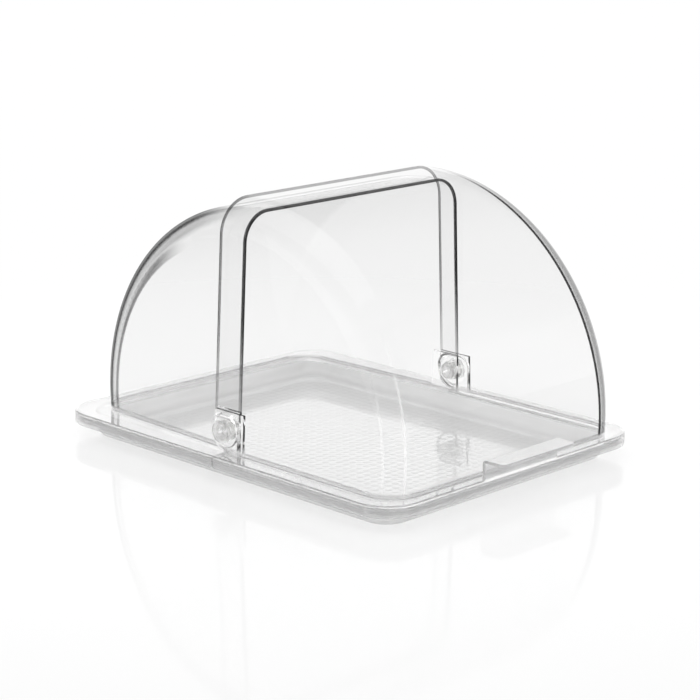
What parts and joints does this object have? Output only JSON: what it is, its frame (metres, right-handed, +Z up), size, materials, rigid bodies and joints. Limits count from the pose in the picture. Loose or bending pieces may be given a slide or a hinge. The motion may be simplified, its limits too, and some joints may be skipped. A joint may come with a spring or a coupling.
{
  "type": "countertop bread display bin",
  "caption": "Clear countertop bread display bin with a shallow tray, a fixed rear quarter barrel and a front quarter barrel that rolls back over it",
  "frame": {"origin": "middle of the tray's flat underside, below the pivot axis", "axes": "+X along the pivots to the right seen from the front, -Y to the front where the finger lip is, +Z up"},
  "size_m": [0.31, 0.415, 0.2292],
  "materials": {
    "clear_plastic": "glossy clear injection-moulded polycarbonate",
    "clear_pin": "glossy clear turned or moulded plastic",
    "natural_nylon": "milky natural nylon"
  },
  "bodies": {
    "base": {"tray": "clear_plastic", "rear_cover": "clear_plastic", "left_pivot_pin": "clear_pin", "right_pivot_pin": "clear_pin", "left_pivot_spacer": "natural_nylon", "right_pivot_spacer": "natural_nylon", "left_pivot_retainer": "clear_pin", "right_pivot_retainer": "clear_pin"},
    "front": {"front_cover": "clear_plastic"}
  },
  "joints": [
    {"name": "front_cover_roll", "type": "hinge", "parent": "base", "child": "front", "pos_m": [0, 0, 0.0408], "axis": [-1, 0, 0], "range_deg": [0, 91]}
  ]
}
